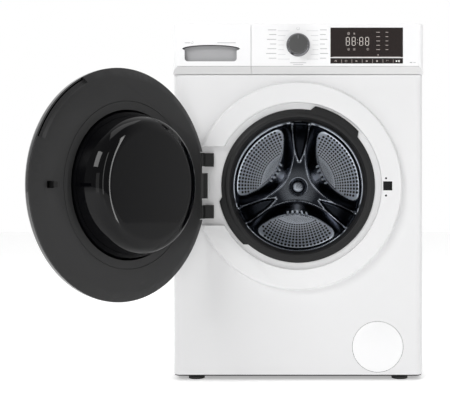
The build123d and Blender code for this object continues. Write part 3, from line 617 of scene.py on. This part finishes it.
def ring_sector(r_in, r_out, y_front, y_back, start, sweep, steps=40):
    """Block that follows the ring for part of its turn."""
    verts, faces = [], []
    for k in range(steps + 1):
        a = math.radians(start + sweep * k / steps)
        ease = min(1.0, k / 3, (steps - k) / 3)
        out = r_in + (r_out - r_in) * ease
        section = [(r_in, y_back), (out, y_back), (out, y_front + 1), (max(r_in, out - 1.5), y_front),
                   (r_in, y_front)]
        for r, y in section:
            verts.append((r * MM * math.cos(a), y * MM, AXIS_Z + r * MM * math.sin(a)))
    for k in range(steps):
        for c in range(5):
            d = (c + 1) % 5
            faces.append([k * 5 + c, k * 5 + d, (k + 1) * 5 + d, (k + 1) * 5 + c])
    faces += [list(range(5)), list(range(steps * 5, steps * 5 + 5))]
    return verts, faces


def gasket():
    """Bellows with a rolled front bead, folds and a thin lip towards the drum."""
    outline = [(165, -296), (172, -297), (176, -294.5), (184, -294), (184.5, -290.5), (178, -290),
               (178, -288), (183, -288), (183, -284), (175, -284), (171.5, -271), (174.5, -262), (171, -253),
               (168.5, -238), (172, -236), (180, -252), (192, -252), (192, -229), (188.1, -229),
               (188.1, -248), (182, -248), (177, -232), (LIP_R, -219.5), (LIP_R, -224), (166, -238),
               (168, -254), (171, -262), (168, -272), (168, -280), (163, -290)]
    wide = [ring_sector(183, 195, -294, -290, 39, 42), ring_sector(183, 192, -294, -290, 188, 42)]
    soft_lathe("bellows", rounded(outline, 2.0, 3), "gasket_rubber", ["door_gasket"],
               extra=wide)


def hose():
    """Folded rubber hose between the tub's sump and the pump."""
    lo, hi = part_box("sump_hose")
    centre = ((lo.x + hi.x) / 2, (lo.y + hi.y) / 2)
    z0, z1 = lo.z / MM, hi.z / MM
    outer, folds = [], 8
    for k in range(folds * 8 + 1):
        t = k / (folds * 8)
        swell = 3 * (0.5 - 0.5 * math.cos(2 * math.pi * folds * t)) if 0.06 < t < 0.94 else 0
        outer.append((20 + swell, z0 + (z1 - z0) * t))
    inner = [(r - 2.5, z) for r, z in reversed(outer)]
    soft_lathe("sump_bellows", outer + inner, "black_rubber", ["sump_hose"],
               axis_z=True, centre=centre)


def springs():
    """Four wire coils that stretch between the cabinet's bars and the tub's lugs."""
    lo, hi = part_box("suspension_springs")
    wire, coil, sides = 1.9 * MM, 10 * MM, 8
    turns = 15
    steps = turns * 18
    x, y = hi.x - 12 * MM, hi.y - 12 * MM
    solids = []
    for sx, sy in ((-1, -1), (-1, 1), (1, -1), (1, 1)):
        verts, faces = [], []
        for k in range(steps + 1):
            t = k / steps
            a = 2 * math.pi * turns * t
            z = lo.z + wire + (hi.z - lo.z - 2 * wire) * t
            for c in range(sides):
                b = 2 * math.pi * c / sides
                r = coil + wire * math.cos(b)
                verts.append((sx * x + r * math.cos(a), sy * y + r * math.sin(a), z + wire * math.sin(b)))
        for k in range(steps):
            for c in range(sides):
                d = (c + 1) % sides
                faces.append([k * sides + c, k * sides + d, (k + 1) * sides + d, (k + 1) * sides + c])
        faces += [list(range(sides)), list(range(steps * sides, (steps + 1) * sides))]
        solids.append((verts, faces))
    obj = clean(from_data("coil_springs", *merged(solids)))
    obj.data.materials.append(LOOKS["steel"])
    sharpen(obj.data, 60)
    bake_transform(obj)
    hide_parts("suspension_springs")


# ---------------------------------------------------------------- drum

MOUTH = 165.0                       # radius of the drum's rolled mouth
STAR_TURN = math.radians(-2.5)      # the star's turn from upright, clockwise seen from the front
PETAL_R = 176.0                     # the petals' outer radius
PLAIN_R = 107                       # the petals have no holes inside this radius
RIB_PITCH = 13.7                    # from one short rib of the dished band to the next
SHEET_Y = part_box("drum_back")[1].y / MM - 2.0


def soft_min(a, b, k):
    """The smaller of two fields, blended where they differ by less than k."""
    return np.minimum(a, b) - np.maximum(k - np.abs(a - b), 0) ** 2 / (4 * k)


def off_petal(phi):
    """Angle from the middle of the nearest petal."""
    return (phi - STAR_TURN - math.radians(30) + math.radians(60)) % math.radians(120) - math.radians(60)


def star_fields(phi, r):
    """Distances that shape the pressed star: petal, dished band, arm ridge and arm trough."""
    lobe = off_petal(phi)
    u, v = r * np.cos(lobe), r * np.sin(lobe)
    arm = math.radians(60) - np.abs(lobe)
    along, across = r * np.cos(arm), r * np.sin(arm)
    half = 24 * (1 - np.exp(-np.maximum(along - 74, 0) / 45))
    inner, crest = 80 + 0.0035 * v ** 2, 42 + 0.0037 * v ** 2
    petal = soft_min(PETAL_R - r, u - inner, 30)
    band = np.clip((u - crest) / (inner - crest), 0, 1)
    return v, petal, band, across, half, u - crest


def along_arm(phi, r):
    """Distance out from the hub along the nearest arm."""
    return r * np.cos(math.radians(60) - np.abs(off_petal(phi)))


def step(x, low, high):
    """0 below low, 1 above high, and a smooth rise between them."""
    t = np.clip((x - low) / (high - low), 0, 1)
    return t * t * (3 - 2 * t)


def rib_field(v, band):
    """1 on the short ribs that cross the dished band, 0 beside them."""
    ends = (np.abs(v) < 30) * step(band, 0.72, 0.78) * (1 - step(band, 0.96, 1.0))
    return ends * step(np.cos(2 * math.pi * v / RIB_PITCH), -0.2, 0.2)


def star_height(phi, r):
    """Height of the pressing above the flat of the petals, in millimetres towards the door."""
    v, petal, band, across, half, past = star_fields(phi, r)
    outside = step(-petal, 0, 3)
    top = 9.0 * (1 - band) ** 1.3 * outside
    trough = step(half - across, -1.0, 5.0) * (half > 0.5)
    top = top * (1 - 0.75 * trough)
    ridge = np.exp(-((across - half - 2.6) / 2.4) ** 2) * (half > 1) + np.exp(-((past + 1.0) / 1.6) ** 2)
    top += 1.2 * np.clip(ridge, 0, 1) * outside
    bead = np.exp(-((petal + 1.0) / 1.2) ** 2)
    top += 0.9 * bead
    ring = step(r, 182, 186) * (1 - step(r, 192, 197)) * (1 - step(half - across, -9, -3))
    groove = step(r, 177.5, 179) * (1 - step(r, 181, 182.5))
    top = np.where(r > PETAL_R + 1, np.minimum(top, 4) + 2.2 * ring - 1.2 * groove, top)
    dome = 1.0 * np.cos(np.clip(r / 60, 0, 1) * math.pi / 2)
    well = step(24 - r, -1.5, 1.5) * (1 - step(17 - r, -1.5, 1.5))
    top += dome * (r < 60) - 2.5 * well - 1.2 * np.clip(r / 17, 0, 1) ** 2 * (r < 17)
    top += rib_field(v, band) * outside
    return top


def star_painted_light(phi, r):
    """Painted light and shade on the drum's back: 1 on the satin petals, 0 on the polished bands, whose near-black
    is painted shade standing in for the dark they reflect; the petal edges, ridges, apexes, hub cap, ribs and
    outer ring are painted pale, and the petals darker towards the hub.
    """
    v, petal, band, across, half, past = star_fields(phi, r)
    # satin petals, with painted shade on their plain part near the hub
    tone = step(petal, -1.5, 0.5) * (0.55 + 0.45 * step(r, 94, 118))
    # painted highlight along the petals' edges
    edge_highlight = np.exp(-((petal + 0.2) / 1.3) ** 2)
    tone = np.maximum(tone, 0.95 * edge_highlight * (r < PETAL_R + 2))
    # painted highlights along the arm ridges and the band's crest
    wall = across - half
    ridge = np.exp(-((wall - 2.6) / 2.0) ** 2) * (along_arm(phi, r) > 70) + np.exp(-((past + 1.0) / 1.0) ** 2)
    tone = np.maximum(tone, 0.7 * np.clip(ridge, 0, 1) * (petal < -8) * (r < PETAL_R + 12))
    # painted highlight on each band's apex
    apex_highlight = np.exp(-(v / 15) ** 2) * step(band, 0.05, 0.3) * (1 - step(band, 0.7, 0.9)) * (petal < 0)
    tone = np.maximum(tone, 0.85 * apex_highlight)
    # painted highlight on the hub cap
    tone = np.maximum(tone, 0.45 * (1 - step(r, 8, 15)))
    # short ribs painted pale against the dark band
    tone = np.maximum(tone, 0.9 * rib_field(v, band) * (petal < 0))
    # outer ring painted paler
    ring = step(r, 183, 185) * (1 - step(r, 194, 196)) * (1 - step(half - across, -9, -3))
    tone = np.maximum(tone, 0.7 * ring)
    # painted shade: the petals darker towards the hub
    shade = 0.75 + 0.25 * step(r, 120, 168)
    tone = np.where(petal > 0.5, tone * shade, tone)
    # painted reflection: a faint pale ring round the hub
    hub_reflection = 0.16 * step(r, 22, 27) * (1 - step(r, 34, 66))
    tone = np.maximum(tone, hub_reflection * step(-past, 1, 4))
    return np.clip(tone, 0, 1)


def drum_metal():
    """Stainless steel whose tone attribute runs from dark polished to pale satin; its near-black end is painted
    shade and its pale end carries the painted highlights.
    """
    mat = surface("pressed_stainless", (0.5, 0.5, 0.5), 0.2, metal=1.0, bump=0.03, spread=0.04, smudge=60)
    nt = mat.node_tree
    shader = nt.nodes["Principled BSDF"]
    tone = nt.nodes.new("ShaderNodeAttribute")
    tone.attribute_name = "tone"
    colour = nt.nodes.new("ShaderNodeMix")
    colour.data_type = "RGBA"
    # near-black painted shade for the bands, pale steel for the petals and the painted highlights
    colour.inputs[6].default_value = (0.035, 0.04, 0.05, 1)
    colour.inputs[7].default_value = (0.80, 0.86, 0.95, 1)
    nt.links.new(tone.outputs["Fac"], colour.inputs[0])
    nt.links.new(colour.outputs[2], shader.inputs["Base Color"])
    rough = nt.nodes.new("ShaderNodeMapRange")
    rough.inputs["To Min"].default_value = 0.1
    rough.inputs["To Max"].default_value = 0.36
    nt.links.new(tone.outputs["Fac"], rough.inputs["Value"])
    nt.links.new(rough.outputs["Result"], shader.inputs["Roughness"])
    return mat


def drum():
    """Perforated wall, pressed back with its star, and the rolled mouth."""
    n = 400
    columns = [2 * math.pi * k / n for k in range(n)]
    hole_step = math.log(PETAL_R / PLAIN_R) / 36
    rows = [PLAIN_R * k / 44 for k in range(4, 44)]
    rows += [PLAIN_R * math.exp(hole_step * k) for k in range(37)]
    rows += [*range(177, 184), 184.5, *range(186, 200, 2), 201, 210, 225, 232, 240]

    def on_back(phi, r):
        y = SHEET_Y - star_height(phi, r)
        return np.stack([r * MM * np.cos(phi), y * MM, AXIS_Z + r * MM * np.sin(phi)], axis=1)

    def petal_hole(phi, r):
        petal = star_fields(np.array([phi]), np.array([r]))[1]
        return r > PLAIN_R and petal[0] > 4.5

    perforated("drum_end", columns, rows, on_back, petal_hole, 0.72, 1.2 * MM, "drum", "stainless",
               drum_metal(), ["drum_back"], star_painted_light, flip=True, closed_end=True)

    lo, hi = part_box("drum_shell")
    r_wall = (hi.z - lo.z) / 2 / MM - 1.5
    front, back = -180.0, hi.y / MM
    n = 384
    columns = [2 * math.pi * k / n for k in range(n)]
    rows = list(np.linspace(front, back, 81))

    def on_wall(phi, y):
        return np.stack([r_wall * MM * np.cos(phi), y * MM, AXIS_Z + r_wall * MM * np.sin(phi)], axis=1)

    def wall_hole(phi, y):
        return front + 8 < y < back - 22

    perforated("drum_wall", columns, rows, on_wall, wall_hole, 0.3, 1.5 * MM, "drum", "stainless",
               LOOKS["stainless"], ["drum_shell"])
    mouth = [(r_wall + 1.5, front), (236, -193), (222, -200), (MOUTH + 12, -204), (MOUTH, -208),
             (MOUTH, -206), (MOUTH + 12, -202.4), (221.5, -198.4), (235, -191.8), (r_wall, front + 0.5)]
    lathe("drum_mouth", rounded(mouth, 2.5, 4), "drum", "stainless", 224, limit=60)


gasket()
hose()
springs()
drum()


# ---------------------------------------------------------------- camera, light, floor

def camera():
    """The photograph's view: level, straight on, with the frame shifted to the open door."""
    data = bpy.data.cameras.new("camera")
    data.sensor_width = 36
    data.lens = 66.4
    data.shift_x = -0.1625
    data.shift_y = -0.0206
    obj = bpy.data.objects.new("camera", data)
    obj.location = (0, PANEL_Y - 1.991, 0.451)
    obj.rotation_euler = (math.radians(90), 0, 0)
    bpy.context.scene.collection.objects.link(obj)
    bpy.context.scene.camera = obj


def area_light(name, place, target, size, power):
    """Soft box at place, turned to face target."""
    data = bpy.data.lights.new(name, "AREA")
    data.shape = "RECTANGLE"
    data.size, data.size_y = size
    data.energy = power
    obj = bpy.data.objects.new(name, data)
    obj.location = place
    obj.rotation_euler = (Vector(target) - Vector(place)).to_track_quat("-Z", "Y").to_euler()
    bpy.context.scene.collection.objects.link(obj)
    return obj


DIM_SIDE = 0.28                     # brightness of the room on the camera's side; behind it is 1


def studio():
    """Plain pale floor, a white backdrop side and soft boxes in a dim room on the camera's side."""
    scene = bpy.context.scene
    scene.view_settings.view_transform = "Standard"
    world = bpy.data.worlds.new("studio")
    world.use_nodes = True
    nt = world.node_tree
    where = nt.nodes.new("ShaderNodeTexCoord")
    split = nt.nodes.new("ShaderNodeSeparateXYZ")
    ramp = nt.nodes.new("ShaderNodeMapRange")
    ramp.inputs["From Min"].default_value = -0.15
    ramp.inputs["From Max"].default_value = 0.35
    ramp.inputs["To Min"].default_value = DIM_SIDE
    ramp.inputs["To Max"].default_value = 1.0
    nt.links.new(where.outputs["Generated"], split.inputs["Vector"])
    nt.links.new(split.outputs["Y"], ramp.inputs["Value"])
    nt.links.new(ramp.outputs["Result"], nt.nodes["Background"].inputs["Strength"])
    nt.nodes["Background"].inputs["Color"].default_value = (1, 1, 1, 1)
    scene.world = world
    bpy.ops.mesh.primitive_plane_add(size=14, location=(0, 0, -0.0005))
    floor = bpy.context.object
    floor.name = "floor"
    look = surface("floor", (0.9, 0.9, 0.9), 0.7, bump=0.02, mottle=0.004, emission=0.42)
    floor.data.materials.append(look)
    area_light("key", (-2.0, -3.0, 2.6), (0, -0.2, 0.45), (1.8, 1.4), 60)
    area_light("fill", (-0.9, -3.3, 0.55), (0, -0.2, 0.45), (1.0, 1.4), 4)
    area_light("strip", (1.3, -2.2, 0.9), (0.0, -0.2, 0.5), (0.35, 1.5), 6)
    glint = area_light("glint", (1.5, -0.9, 0.6), (-0.4, -0.5, 0.45), (0.14, 1.3), 6)
    glint.visible_diffuse = False
    area_light("top", (0.3, -0.6, 3.2), (0, -0.1, 0.6), (2.6, 1.2), 16)


camera()
studio()
